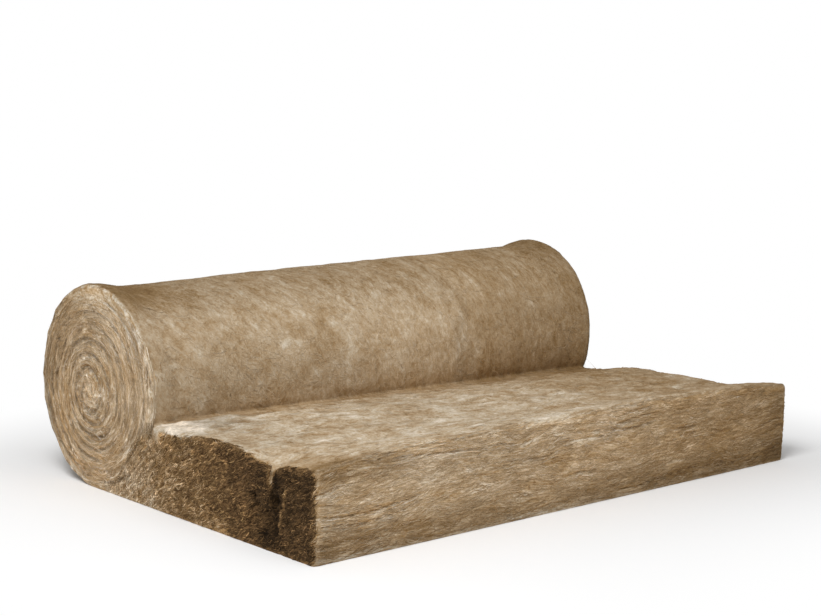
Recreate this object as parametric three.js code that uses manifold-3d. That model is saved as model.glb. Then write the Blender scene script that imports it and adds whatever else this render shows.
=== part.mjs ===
// A blanket of mineral wool, wound up and half let go: the roll lies along X, and the free tail
// runs flat on the floor towards -Y. Millimetres, +Z up, origin under the middle of the whole.
import * as THREE from 'three';
import { mergeVertices } from 'three/addons/utils/BufferGeometryUtils.js';
import Module from 'manifold-3d';

const { clamp, lerp, smoothstep } = THREE.MathUtils;

// The roll: an upright oval across its axis, wound turn on turn with no bore.
const BLANKET_WIDTH = 1200;
const ROLL_HEIGHT = 383; // at its rims
const ROLL_DEPTH = 362; // at its rims
const ROLL_WAIST = 10; // it is slimmer by this much all round between its flared rims
const FLARE_RUN = 70; // each rim flares over this length
const ROLL_SETTLE = 4; // how much of the oval the floor flattens
const RIM_ROUND = 8; // rounding of the blanket's cut sides

// The winding, as it shows on the cut ends.
const TURN_PITCH = 25; // a wound turn, squeezed to this thickness
const CORE_RADIUS = 14; // the tight curl that the winding starts from
const CORE_BACK = 20; // the curl lies this far behind the oval's middle,
const CORE_DROP = 14; // and this far below it
const SQUEEZE_TURN = 0.25; // part of a turn in which the tail thins to one wound turn
const EVEN_TURN = 3; // from this turn inwards nothing is left of that squeeze
const SEAM_WIDTH = 8;
const SEAM_DEPTH = 9;

// The free tail, from the roll's axis to its cut front edge. Left is -X and right is +X.
const TAIL_REACH = 659;
const EDGE_SKEW = 80; // the front edge reaches this much further on the right
const TAIL_THICKNESS = 158; // at the front corners
const EDGE_CROWN = 18; // the front edge swells by this much between its corners
const MID_HEIGHT_LEFT = 157; // top of the tail between the roll and the front edge
const MID_HEIGHT_RIGHT = 135;
const NIP_HEIGHT_LEFT = 152; // top of the tail where the roll presses on it
const NIP_HEIGHT_RIGHT = 110;
const NIP_RUN = 150; // the top rises from the nip to its middle height over this run,
const EDGE_RUN = 160; // and from there to the front edge over this one

// An old fold across the tail's left side: a dip in the top, a torn gap and a hollow below it.
const FOLD_REACH = 500;
const FOLD_DIP = 22;
const FOLD_DIP_LENGTH = 70;
const FOLD_DIP_RUN = 130; // the dip fades out over this much of the width
const FOLD_GAP_WIDTH = 14;
const FOLD_GAP_DEPTH = 16;
const FOLD_GAP_LEAN = 34; // the gap runs out this much further forward at the floor
const HOLLOW_LENGTH = 90;
const HOLLOW_HEIGHT = 80;
const HOLLOW_DEPTH = 18;

// How finely the curves are cut.
const OVAL_SIDES = 72;
const FLARE_STEPS = 5;
const TAIL_STEPS_ALONG = 18;
const TAIL_STEPS_ACROSS = 14;
const TAIL_STEPS_HIGH = 4;
const ROUND_STEPS = 2; // in the tail's edges
const RIM_STEPS = 4; // in the roll's rims
const SEAM_STEPS_A_TURN = 30;
const HOLLOW_SIDES = 16;

const wasm = await Module();
wasm.setup();

const halfWidth = BLANKET_WIDTH / 2;
const ovalHalfDepth = ROLL_DEPTH / 2;
const ovalHalfHeight = (ROLL_HEIGHT + ROLL_SETTLE) / 2;
const axisHeight = ovalHalfHeight - ROLL_SETTLE;
const ovalMeanRadius = (ovalHalfDepth + ovalHalfHeight) / 2;

function toSolid(geometry) {
  const bare = geometry.clone();
  bare.deleteAttribute('normal');
  bare.deleteAttribute('uv');
  const merged = mergeVertices(bare, 1e-4);
  const corners = merged.index.array;
  const triVerts = [];
  for (let i = 0; i < corners.length; i += 3) {
    const [a, b, c] = corners.slice(i, i + 3);
    if (a !== b && b !== c && c !== a) triVerts.push(a, b, c);
  }
  return new wasm.Manifold(new wasm.Mesh({
    numProp: 3,
    vertProperties: new Float32Array(merged.attributes.position.array),
    triVerts: new Uint32Array(triVerts),
  }));
}

function toGeometry(solid) {
  const mesh = solid.getMesh();
  const geometry = new THREE.BufferGeometry();
  geometry.setAttribute('position', new THREE.BufferAttribute(mesh.vertProperties, 3));
  geometry.setIndex(new THREE.BufferAttribute(mesh.triVerts, 1));
  geometry.computeVertexNormals();
  return geometry;
}

// How much slimmer the roll is than at its rims, this far in from an end.
const waistAt = (fromEnd) => ROLL_WAIST * smoothstep(fromEnd, RIM_ROUND, FLARE_RUN);

// Half of the turned outline, from the middle of one end to the middle of the roll.
function rollOutline() {
  const outline = [new THREE.Vector2(0, -halfWidth)];
  for (let i = 0; i <= RIM_STEPS; i++) {
    const turned = (Math.PI / 2) * (i / RIM_STEPS);
    const radius = ovalHalfDepth - RIM_ROUND * (1 - Math.sin(turned));
    outline.push(new THREE.Vector2(radius, RIM_ROUND * (1 - Math.cos(turned)) - halfWidth));
  }
  for (let i = 1; i <= FLARE_STEPS; i++) {
    const fromEnd = lerp(RIM_ROUND, FLARE_RUN, i / FLARE_STEPS);
    outline.push(new THREE.Vector2(ovalHalfDepth - waistAt(fromEnd), fromEnd - halfWidth));
  }
  return outline;
}

// The roll is turned about its axis and then drawn up into an oval.
function rollSolid() {
  const half = rollOutline();
  const mirrored = half.map((point) => new THREE.Vector2(point.x, -point.y)).reverse();
  const geometry = new THREE.LatheGeometry([...half, ...mirrored], OVAL_SIDES);
  geometry.rotateZ(-Math.PI / 2);
  geometry.scale(1, 1, ovalHalfHeight / ovalHalfDepth);
  geometry.translate(0, 0, axisHeight);
  return toSolid(geometry);
}

// Share of the width, from 0 at the left to 1 at the right.
const across = (x) => clamp((x + halfWidth) / BLANKET_WIDTH, 0, 1);
const tailReachAt = (x) => TAIL_REACH + EDGE_SKEW * (across(x) - 0.5);
const nipHeightAt = (x) => lerp(NIP_HEIGHT_LEFT, NIP_HEIGHT_RIGHT, across(x));

function foldDipAt(x, y) {
  const along = Math.exp(-(((y + FOLD_REACH) / (FOLD_DIP_LENGTH / 2)) ** 2));
  return FOLD_DIP * along * (1 - smoothstep(x + halfWidth, 0, FOLD_DIP_RUN));
}

// The tail's top is pressed down at the nip, sags to the right and swells to a crowned front edge.
function tailHeightAt(x, y) {
  const fromNip = -y - ovalHalfDepth;
  const fromEdge = tailReachAt(x) + y;
  const middle = lerp(MID_HEIGHT_LEFT, MID_HEIGHT_RIGHT, across(x));
  const relaxed = lerp(nipHeightAt(x), middle, smoothstep(fromNip, 0, NIP_RUN));
  const edge = TAIL_THICKNESS + EDGE_CROWN * (1 - (2 * across(x) - 1) ** 4);
  return lerp(edge, relaxed, smoothstep(fromEdge, 0, EDGE_RUN)) - foldDipAt(x, y);
}

// Where the grid lines lie along one side: close together in the rounded edges.
function gridLines(low, high, steps) {
  const lines = [];
  for (let i = 0; i < ROUND_STEPS; i++) lines.push(low + (RIM_ROUND * i) / ROUND_STEPS);
  for (let i = 0; i <= steps; i++) lines.push(lerp(low + RIM_ROUND, high - RIM_ROUND, i / steps));
  for (let i = 1; i <= ROUND_STEPS; i++) lines.push(high + RIM_ROUND * (i / ROUND_STEPS - 1));
  return lines;
}

// The tail starts as a straight bar with rounded edges, its underside level with the unsettled roll.
// Its grid is then stretched to the skewed front edge and to the height of the top.
function tailSolid() {
  const low = new THREE.Vector3(-halfWidth, -TAIL_REACH, -ROLL_SETTLE);
  const high = new THREE.Vector3(halfWidth, 0, TAIL_THICKNESS);
  const linesX = gridLines(low.x, high.x, TAIL_STEPS_ACROSS);
  const linesY = gridLines(low.y, high.y, TAIL_STEPS_ALONG);
  const linesZ = gridLines(low.z, high.z, TAIL_STEPS_HIGH);
  const cells = [linesX.length - 1, linesY.length - 1, linesZ.length - 1];
  const geometry = new THREE.BoxGeometry(...cells, ...cells);
  const lineAt = (lines, place) => lines[Math.round(place + (lines.length - 1) / 2)];
  const innerLow = low.clone().addScalar(RIM_ROUND);
  const innerHigh = high.clone().subScalar(RIM_ROUND);
  const points = geometry.attributes.position;
  const point = new THREE.Vector3();
  for (let i = 0; i < points.count; i++) {
    point.fromBufferAttribute(points, i);
    point.set(lineAt(linesX, point.x), lineAt(linesY, point.y), lineAt(linesZ, point.z));
    const inner = point.clone().clamp(innerLow, innerHigh);
    point.sub(inner).setLength(RIM_ROUND).add(inner);
    point.y *= tailReachAt(point.x) / TAIL_REACH;
    point.z *= tailHeightAt(point.x, point.y) / TAIL_THICKNESS;
    points.setXYZ(i, point.x, point.y, point.z);
  }
  return toSolid(geometry);
}

// The line between the turns on one end: from the nip it dives under the roll, where the tail is
// squeezed to one turn, and winds in to the curl.
class SeamCurve extends THREE.Curve {
  constructor(endX) {
    super();
    this.endX = endX;
    this.nipAngle = Math.PI + Math.asin((axisHeight - nipHeightAt(endX)) / ovalHalfHeight);
    this.turns = (ovalMeanRadius - CORE_RADIUS) / TURN_PITCH;
  }

  getPoint(share, target = new THREE.Vector3()) {
    const turn = share * this.turns;
    const part = turn - Math.floor(turn);
    const squeezed = smoothstep(part, 0, SQUEEZE_TURN);
    const turnsIn = Math.floor(turn) + lerp(squeezed, part, Math.min(turn / EVEN_TURN, 1));
    const scale = 1 - turnsIn * TURN_PITCH / ovalMeanRadius;
    const angle = this.nipAngle + 2 * Math.PI * turn;
    const y = CORE_BACK * (1 - scale) + scale * ovalHalfDepth * Math.cos(angle);
    const z = axisHeight - CORE_DROP * (1 - scale) + scale * ovalHalfHeight * Math.sin(angle);
    return target.set(this.endX, y, z);
  }
}

// A V-shaped cut along the seam; half of its diamond section lies outside the end face.
function seamCutter(endX) {
  const path = new SeamCurve(endX);
  const diamond = new THREE.Shape();
  diamond.moveTo(-SEAM_DEPTH, 0);
  diamond.lineTo(0, -SEAM_WIDTH / 2);
  diamond.lineTo(SEAM_DEPTH, 0);
  diamond.lineTo(0, SEAM_WIDTH / 2);
  return toSolid(new THREE.ExtrudeGeometry(diamond, {
    steps: Math.round(path.turns * SEAM_STEPS_A_TURN),
    extrudePath: path,
  }));
}

// The fold's gap is a V down the left side, leaning forward at the floor.
function foldGapCutter() {
  const tall = 2 * TAIL_THICKNESS;
  const gap = new THREE.CylinderGeometry(FOLD_GAP_WIDTH / 2, FOLD_GAP_WIDTH / 2, tall, 4);
  gap.rotateX(Math.PI / 2);
  gap.scale(2 * FOLD_GAP_DEPTH / FOLD_GAP_WIDTH, 1, 1);
  const lean = new THREE.Matrix4().makeShear(0, 0, 0, 0, 0, FOLD_GAP_LEAN / TAIL_THICKNESS);
  gap.applyMatrix4(lean);
  gap.translate(-halfWidth, -FOLD_REACH - FOLD_GAP_LEAN, 0);
  return toSolid(gap);
}

// The hollow lies low down, behind the gap.
function hollowCutter() {
  const scoop = new THREE.SphereGeometry(1, HOLLOW_SIDES, HOLLOW_SIDES / 2);
  scoop.scale(HOLLOW_DEPTH, HOLLOW_LENGTH / 2, HOLLOW_HEIGHT / 2);
  scoop.translate(-halfWidth, HOLLOW_LENGTH / 2 - FOLD_REACH - FOLD_GAP_LEAN, HOLLOW_HEIGHT / 2);
  return toSolid(scoop);
}

// Everything below the floor is cut away, so that the blanket lies on one flat face.
function floorBlock() {
  const reach = 2 * (TAIL_REACH + EDGE_SKEW + ROLL_DEPTH);
  const block = new THREE.BoxGeometry(2 * BLANKET_WIDTH, reach, ROLL_HEIGHT);
  block.translate(0, 0, -ROLL_HEIGHT / 2);
  return toSolid(block);
}

const wool = new THREE.MeshStandardMaterial({ color: 0xaa9373, roughness: 0.97, metalness: 0 });

const blanketSolid = rollSolid()
  .add(tailSolid())
  .subtract(floorBlock())
  .subtract(foldGapCutter())
  .subtract(hollowCutter())
  .subtract(seamCutter(-halfWidth))
  .subtract(seamCutter(halfWidth));

const blanket = new THREE.Mesh(toGeometry(blanketSolid), wool);
blanket.name = 'wool_blanket';
blanket.geometry.computeBoundingBox();
blanket.position.y = -(blanket.geometry.boundingBox.min.y + blanket.geometry.boundingBox.max.y) / 2;

const insulationRoll = new THREE.Group();
insulationRoll.add(blanket);

export default insulationRoll;
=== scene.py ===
import math

import bpy
import numpy as np
from mathutils import Matrix, Vector
from mathutils.bvhtree import BVHTree


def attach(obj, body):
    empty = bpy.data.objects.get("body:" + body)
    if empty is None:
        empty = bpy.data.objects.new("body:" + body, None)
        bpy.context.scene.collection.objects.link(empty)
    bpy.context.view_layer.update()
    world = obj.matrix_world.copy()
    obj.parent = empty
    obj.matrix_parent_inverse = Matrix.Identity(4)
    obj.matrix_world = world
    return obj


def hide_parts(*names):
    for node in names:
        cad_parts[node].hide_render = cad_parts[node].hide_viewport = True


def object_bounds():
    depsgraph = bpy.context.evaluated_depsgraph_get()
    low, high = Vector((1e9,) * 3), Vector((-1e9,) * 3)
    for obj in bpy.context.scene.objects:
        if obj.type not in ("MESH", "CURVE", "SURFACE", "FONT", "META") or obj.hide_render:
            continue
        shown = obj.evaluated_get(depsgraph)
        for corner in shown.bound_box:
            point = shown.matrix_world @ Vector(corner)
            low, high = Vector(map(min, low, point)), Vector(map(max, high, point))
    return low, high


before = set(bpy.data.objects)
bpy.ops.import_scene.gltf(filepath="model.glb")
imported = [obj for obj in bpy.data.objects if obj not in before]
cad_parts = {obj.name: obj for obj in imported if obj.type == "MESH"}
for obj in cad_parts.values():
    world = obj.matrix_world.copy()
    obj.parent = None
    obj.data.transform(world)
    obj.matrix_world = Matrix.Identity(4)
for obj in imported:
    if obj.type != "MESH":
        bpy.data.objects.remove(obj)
box_of_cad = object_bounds()


# ---------------------------------------------------------------- the view
# A long lens stands off the roll's left end, a little above it, and looks across the free tail
# at the roll.
EYE_SPOT = (-2.3047, -2.3258, 0.845)
EYE_TURN = math.radians(-44.15)
EYE_DROP = math.radians(9.2)
EYE_TILT = math.radians(1.3)
EYE_SENSOR_MM = 36.0
EYE_LENS_MM = 74.04

back = Vector((
    math.sin(EYE_TURN) * math.cos(EYE_DROP),
    -math.cos(EYE_TURN) * math.cos(EYE_DROP),
    math.sin(EYE_DROP),
))
level = Vector((0, 0, 1)).cross(back).normalized()
upright = back.cross(level)
sideways = math.cos(EYE_TILT) * level + math.sin(EYE_TILT) * upright
upwards = math.cos(EYE_TILT) * upright - math.sin(EYE_TILT) * level


def put_in_scene(name, data):
    """Makes an object of a mesh, a lens or a lamp, and puts it in the scene."""
    made = bpy.data.objects.new(name, data)
    bpy.context.scene.collection.objects.link(made)
    return made


eye = put_in_scene("eye", bpy.data.cameras.new("eye"))
eye.data.sensor_width = EYE_SENSOR_MM
eye.data.lens = EYE_LENS_MM
turned = Matrix((sideways, upwards, back)).transposed().to_4x4()
eye.matrix_world = Matrix.Translation(EYE_SPOT) @ turned
bpy.context.scene.camera = eye


# ---------------------------------------------------------------- the wool blanket
# One blanket of brown mineral wool: short glass fibres laid down in layers and held by a brown
# binder. It was cut square at its sides and front, wound up tight, and a third of it let go.
VOXEL = 0.0025
WELD_GAP = 1e-6
BODY_TRIANGLES = 198000


def select_only(piece):
    """Makes the piece the one that the next operator works on."""
    bpy.ops.object.select_all(action="DESELECT")
    piece.select_set(True)
    bpy.context.view_layer.objects.active = piece


def apply_modifier(piece, kind, **settings):
    """Adds a modifier with these settings to the piece and applies it."""
    select_only(piece)
    modifier = piece.modifiers.new(kind.lower(), kind)
    for name, value in settings.items():
        setattr(modifier, name, value)
    bpy.ops.object.modifier_apply(modifier=modifier.name)


def even_skin():
    """A copy of the CAD blanket, rebuilt as a skin of small even faces."""
    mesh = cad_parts["wool_blanket"].data.copy()
    mesh.materials.clear()
    made = put_in_scene("wool_body", mesh)
    select_only(made)
    bpy.ops.object.mode_set(mode="EDIT")
    bpy.ops.mesh.select_all(action="SELECT")
    bpy.ops.mesh.remove_doubles(threshold=WELD_GAP)
    bpy.ops.object.mode_set(mode="OBJECT")
    apply_modifier(made, "REMESH", mode="VOXEL", voxel_size=VOXEL, use_smooth_shade=True)
    return made


body = even_skin()


# Numbers kept on the mesh, and soft steps and lumps to shape it with.
def numbers(items, name, width=1):
    """One property of all vertices, edges or faces, as rows of numbers."""
    kind = np.int32 if name in ("vertices", "vertex_index") else np.float32
    found = np.empty(len(items) * width, kind)
    items.foreach_get(name, found)
    return found.reshape(-1, width) if width > 1 else found


def store(mesh, name, values):
    """Keeps one number, or one vector, for each vertex of the mesh."""
    kind, field = ("FLOAT", "value") if values.ndim == 1 else ("FLOAT_VECTOR", "vector")
    held = mesh.attributes.new(name, kind, "POINT")
    held.data.foreach_set(field, values.astype(np.float32).ravel())


def stored(mesh, name):
    """Reads back a number that store kept."""
    return numbers(mesh.attributes[name].data, "value").astype(float)


def eased(value, low, high):
    """0 below low, 1 above high, and a smooth way between."""
    part = np.clip((value - low) / (high - low), 0, 1)
    return part * part * (3 - 2 * part)


def faded(value, low, high):
    """1 below low, 0 above high, and a smooth way between."""
    return eased(-value, -high, -low)


def hump(value, middle, reach):
    """1 at the middle, falling off smoothly on both sides of it."""
    return np.exp(-(((value - middle) / reach) ** 2))


LATTICE_KEYS = np.array([73856093, 19349663, 83492791])
SEED_KEY = 40503
MIX_KEY = 1274126177
KEY_MASK = 0x7FFFFFFF


def lumps(places, size, seed):
    """Smooth random values from -1 to 1, with lumps of about this size along each axis."""
    places = places / np.asarray(size, float)
    cell = np.floor(places).astype(np.int64)
    part = places - cell
    part = part * part * (3 - 2 * part)
    total = np.zeros(len(places))
    for corner in range(8):
        step = np.array([corner & 1, corner >> 1 & 1, corner >> 2 & 1])
        key = ((cell + step) @ LATTICE_KEYS + seed * SEED_KEY) & KEY_MASK
        key = ((key ^ key >> 13) * MIX_KEY) & KEY_MASK
        value = ((key ^ key >> 15) & 0xFFFF) / 32767.5 - 1
        total += value * np.prod(np.where(step, part, 1 - part), axis=1)
    return total


def ridges(places, size, seed):
    """Like lumps, but with sharp crests at 1 and broad hollows below -1."""
    return 1 - 2 * np.abs(lumps(places, size, seed)) * 1.4


def blurred(values, edges, rounds):
    """Values at the vertices, evened out along the edges a few times."""
    count = len(values)
    ends = np.concatenate([edges[:, 0], edges[:, 1]])
    others = np.concatenate([edges[:, 1], edges[:, 0]])
    near = np.bincount(ends, minlength=count)
    for _ in range(rounds):
        values = (values + np.bincount(ends, values[others], count)) / (near + 1)
    return values


# The roll is an upright oval, wound round a core that sits low and to the back of its middle. Its
# outermost turn is squeezed from the tail's full thickness to one turn's in a quarter of a turn.
HALF_WIDTH = box_of_cad[1].x
HALF_LENGTH = box_of_cad[1].y
ROLL_DEPTH = 0.362
ROLL_TOP = box_of_cad[1].z
ROLL_SETTLE = 0.004
ROLL_MID_Y = HALF_LENGTH - ROLL_DEPTH / 2
ROLL_MID_Z = (ROLL_TOP - ROLL_SETTLE) / 2
OVAL_Y = ROLL_DEPTH / 2
OVAL_Z = (ROLL_TOP + ROLL_SETTLE) / 2
OVAL_MEAN = (OVAL_Y + OVAL_Z) / 2
TURN_PITCH = 0.025
CORE_BACK = 0.020
CORE_DROP = 0.014
SQUEEZE_TURN = 0.25
EVEN_TURN = 3
NIP_HEIGHTS = (0.152, 0.110)
TAIL_REACH = 0.659
EDGE_SKEW = 0.080


def nip_height(x):
    """How high the roll meets the tail's top, from the left end to the right."""
    return np.interp(x, (-HALF_WIDTH, HALF_WIDTH), NIP_HEIGHTS)


def winding(places):
    """Where points lie in the roll: how deep under its surface, in metres; the turn that they
    belong to, which is a whole number on each seam; and the angle round the core."""
    across = (places[:, 1] - ROLL_MID_Y) / OVAL_Y
    high = (places[:, 2] - ROLL_MID_Z) / OVAL_Z
    drift_y = CORE_BACK / OVAL_Y
    drift_z = -CORE_DROP / OVAL_Z
    a = drift_y**2 + drift_z**2 - 1
    b = 2 - 2 * (drift_y * across + drift_z * high)
    c = across**2 + high**2 - 1
    inside = (np.sqrt(np.maximum(b * b - 4 * a * c, 0)) - b) / (2 * a)
    angle = np.arctan2(high - drift_z * inside, across - drift_y * inside)
    nip_angle = math.pi + np.arcsin((ROLL_MID_Z - nip_height(places[:, 0])) / OVAL_Z)
    part = ((angle - nip_angle) / (2 * math.pi)) % 1
    depth = inside * OVAL_MEAN
    squeezed = eased(part, 0, SQUEEZE_TURN)
    slack = part - squeezed
    outer = (depth / TURN_PITCH - squeezed - slack * part / EVEN_TURN) / (1 + slack / EVEN_TURN)
    turn = np.where(outer + part < EVEN_TURN, outer, depth / TURN_PITCH - part)
    return depth, turn, angle


def off_seam(turn):
    """0 on the seams between the turns and 1 half way from one seam to the next."""
    return np.abs((turn + 0.5) % 1 - 0.5) * 2


def front_line(x):
    """Where the blanket's cut front edge runs, from the left to the right."""
    return ROLL_MID_Y - TAIL_REACH - EDGE_SKEW * x / (2 * HALF_WIDTH)


def flow_line(places):
    """How far ahead of the roll's middle the outer turn lets go of the left end, at each height."""
    return 0.045 + 0.72 * places[:, 2] + 0.006 * lumps(places, (1, 0.02, 0.02), seed=28)


ZONES = ("wound", "side", "front", "wall")


class Survey:
    """Every point of the blanket: its place, the way that it faces and where it lies in the roll."""

    def __init__(self, mesh):
        self.places = numbers(mesh.vertices, "co", 3).astype(float)
        self.facing = numbers(mesh.vertices, "normal", 3).astype(float)
        self.edges = numbers(mesh.edges, "vertices", 2)
        self.x, self.y, self.z = self.places.T
        self.left = self.x < 0
        self.ahead = ROLL_MID_Y - self.y
        self.from_end = HALF_WIDTH - np.abs(self.x)
        self.nip = nip_height(self.x)
        self.depth, self.turn, self.angle = winding(self.places)

    def read_zones(self, mesh):
        """Takes up the marks that name_zones left: the cut faces, and what is skin between them."""
        self.wound, self.side, self.front, self.wall = (stored(mesh, name) for name in ZONES)
        self.cut = np.minimum(self.wound + self.side + self.front, 1)
        self.skin = 1 - self.cut
        self.top = self.skin * (1 - self.wall)
        return self


# The blanket's zones. A torn nap hangs over the tail's left side, and stops under the fluff that
# the roll has squeezed up beside the nip.
RIM_ROUND = 0.008
SEAM_DEPTH = 0.009
TORN_DEPTH = 0.020
PUFF_HEIGHT = 0.124


def name_zones(mesh):
    """Marks each vertex of the wound ends, of the tail's cut sides, of the cut front and of the
    wound wall. The rest is the tail's top and the underside."""
    at = Survey(mesh)
    over_rim = at.from_end < RIM_ROUND * 0.3
    on_seam = (at.from_end < SEAM_DEPTH + 0.002) & (at.depth > 0.004)

    # The roll's ends, with the floors of their seams, as far as the turn that flows into the tail.
    in_roll = (at.depth > 0.002) & ~((at.ahead > 0.03) & (at.turn < -0.02))
    in_roll |= ((at.ahead < 0) | (at.z > at.nip + 0.004)) & (at.depth > -0.02) & over_rim
    in_roll &= ~at.left | (at.ahead < flow_line(at.places)) | (at.z > at.nip)
    wound = in_roll & (over_rim | on_seam)

    # The tail's sides, with the torn hollow. On the left the nap stops under the fluff by the nip,
    # and curls over the edge of the top beside the gap.
    from_front = at.y - front_line(at.x)
    in_fan = (at.ahead > 0) & (at.turn < 0) & (((at.turn + 1) > 0) | (at.depth < 0))
    torn = (at.from_end < TORN_DEPTH) & (at.z < 0.11) & (from_front > 0.015)
    side = (at.ahead > 0) & (over_rim | (torn & (at.ahead > 0.2)) | (on_seam & in_fan))
    by_roll = at.left & (at.ahead > 0.03) & (at.ahead < 0.2) & (at.z < at.nip)
    side = ~wound & (side | by_roll & (on_seam | over_rim))
    puffed = PUFF_HEIGHT + 0.003 * lumps(at.places, 0.02, seed=19) + 0.036 * eased(at.ahead, 0.24, 0.34)
    side &= ~at.left | (at.z < puffed - 0.008 * hump(at.ahead, 0.43, 0.03))
    curled = 0.014 * faded(at.ahead, 0.36, 0.50) + 0.005 * lumps(at.places, 0.018, seed=26)
    curled = curled * eased(at.ahead, 0.28, 0.34) + 0.012 * hump(at.ahead, 0.485, 0.014)
    side |= at.left & (at.ahead > 0.2) & (at.ahead < 0.54) & (at.z > 0.1) & (at.from_end < curled)

    # The cut front, which frays over its edges here and there, and the wound wall.
    crept = 0.5 * RIM_ROUND + 0.014 * np.maximum(lumps(at.places, (0.06, 0.03, 0.03), seed=21), 0)
    front = ~side & ~wound & (from_front < crept) & (at.z > 0.003)
    wall = ~wound & ~side & (np.abs(at.depth) < 0.03) & (at.facing[:, 2] > -0.97)
    wall &= (at.ahead < OVAL_Y) & ((at.ahead < 0) | (at.z > 0.09))
    for name, zone in zip(ZONES, (wound, side, front, wall)):
        store(mesh, name, blurred(zone.astype(float), at.edges, 2))


name_zones(body.data)


# The grain. The layers lie flat in the tail, wind round the core in the roll, and climb forward
# where they spread again in front of the nip. The wound wall's fibres lie aslant.
NAP_SLOPE = 0.50
FAN_SLOPE = 1.0
FAN_START = 0.09
FAN_RUN = 0.08
WALL_SLANT = math.radians(52)
RING_GRAIN = 0.016


def waves(x, z):
    """How far the blanket's layers wander up and down along its cut front."""
    spots = np.stack([x, 0 * x, z], 1)
    return 0.011 * lumps(spots, (0.16, 1, 0.07), seed=6) + 0.004 * lumps(spots, (0.05, 1, 0.03), seed=7)


def nap_rise(ahead):
    """How steeply the squeezed layers climb towards the front, steepest beside the roll."""
    return np.arctan(NAP_SLOPE + FAN_SLOPE * np.exp((FAN_START - np.maximum(ahead, 0)) / FAN_RUN))


def grain_frames(places):
    """Coordinates that follow the fibres in each part: the first runs across the layers, the
    others along them, drawn together so that a lump there is a long streak."""
    x, y, z = places.T
    depth, _, angle = winding(places)
    around_core = RING_GRAIN * np.cos(angle), RING_GRAIN * np.sin(angle) + 0.2 * x
    rings = np.stack([depth + 0.3 * waves(z, y), *around_core], 1)
    ahead = ROLL_MID_Y - y
    rise = nap_rise(ahead)
    climbed = NAP_SLOPE * ahead - FAN_SLOPE * FAN_RUN * np.exp((FAN_START - ahead) / FAN_RUN)
    over = (z - climbed) * np.cos(rise)
    along = ahead * np.cos(rise) + z * np.sin(rise)
    nap = np.stack([over + 0.4 * waves(along, over), along / 3, x / 3], 1)
    layers = np.stack([1.4 * (z + waves(x, z)), x / 5, y / 5], 1)
    around = ((angle + math.pi / 2) % (2 * math.pi)) * OVAL_MEAN
    swept = WALL_SLANT + 0.5 * eased(x, -0.1, 0.6)
    down = around * np.sin(swept) + x * np.cos(swept)
    bands = np.stack([0.6 * (around * np.cos(swept) - x * np.sin(swept)), 0.6 * down / 2.6, depth / 3], 1)
    flat = np.stack([0.6 * (y + 1.5 * waves(x, y)), 0.6 * x / 2, z], 1)
    return {"rings": rings, "nap": nap, "layers": layers, "bands": bands, "flat": flat}


# The relief. The turns on the ends stand and sink a few millimetres, and their seams are closed
# to a trace. The front shows its layers, and the left side is torn, with a lip and small holes.
# Each hole is given by how far ahead it is, how high and how wide.
TEAR_AHEAD = 0.541
TEAR_LIP = 0.0028
TEAR_HOLES = (
    (0.486, 0.024, 0.010),
    (0.466, 0.086, 0.006),
    (0.520, 0.040, 0.010),
    (0.524, 0.090, 0.008),
)
END_HOLES = (
    (-0.137, 0.212, 0.0035),
    (-0.130, 0.196, 0.003),
    (0.160, 0.241, 0.003),
    (-0.089, 0.064, 0.003),
)
END_HOLE_SQUASH = 0.6
RIGHT_NAP = 0.35
RAISED_STEP = 0.0015
FLOOR_ROUND = 0.015


def dimple(at, hole, squash=1.0):
    """1 in a small hole in the blanket's left end or side, and 0 away from it."""
    ahead, high, wide = hole
    return np.exp(-((at.ahead - ahead) ** 2 + (squash * (at.z - high)) ** 2) / wide**2) * at.left


def tear_edge(places):
    """The thin ragged lip where the torn hollow of the left side stops short of the front."""
    from_lip = ROLL_MID_Y - places[:, 1] - TEAR_AHEAD - 0.25 * (places[:, 2] - 0.075)
    from_lip += 0.004 * lumps(places, (1, 1, 0.02), seed=18)
    return hump(from_lip, 0, TEAR_LIP) * eased(places[:, 2], 0.02, 0.04) * faded(places[:, 2], 0.11, 0.13)


def shoulder(at):
    """The smooth upper part of the wound ends, which the outer turn has been smeared over."""
    return eased(at.z + 0.012 * lumps(at.places, 0.03, seed=29), 0.318, 0.346) * faded(at.depth, 0.03, 0.05)


def end_relief(at, rings):
    """The wound ends: each turn stands a little proud between its seams, the seams have pits, the
    shoulder is calm, and the rim is ragged."""
    in_core = eased(at.depth, 0.05, 0.13)
    calm = shoulder(at)
    kept = 0.12 + 0.16 * in_core + 0.16 * lumps(rings, (0.03, 0.006, 0.006), seed=12)
    sunk = np.maximum(at.from_end, 0) * eased(at.depth, 0.003, 0.008)
    lift = sunk * (1 - kept * (1 - 0.9 * calm))
    crest = (1 - (1 - off_seam(at.turn)) ** 2) * eased(at.depth, 0.004, 0.012)
    lift += (1 - 0.8 * calm) * (crest - 0.6) * (0.0011 + 0.0010 * in_core)
    strands = 0.0010 * ridges(rings, (0.010, 0.007, 0.007), seed=10)
    strands += 0.0007 * lumps(rings, (0.005, 0.003, 0.003), seed=11)
    pits = 0.006 * eased(lumps(rings, (0.05, 0.0016, 0.0016), seed=15), 0.62, 0.9)
    lift += (1 - calm) * (strands - pits * faded(off_seam(at.turn), 0, 0.4))
    ragged = 0.0045 * lumps(at.places, (0.010, 0.010, 0.016), seed=20) * faded(at.depth, 0.004, 0.015)
    lift += ragged * (at.from_end < RIM_ROUND)
    for hole in END_HOLES:
        lift -= 0.010 * dimple(at, hole, END_HOLE_SQUASH)
    return at.wound * lift


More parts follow.
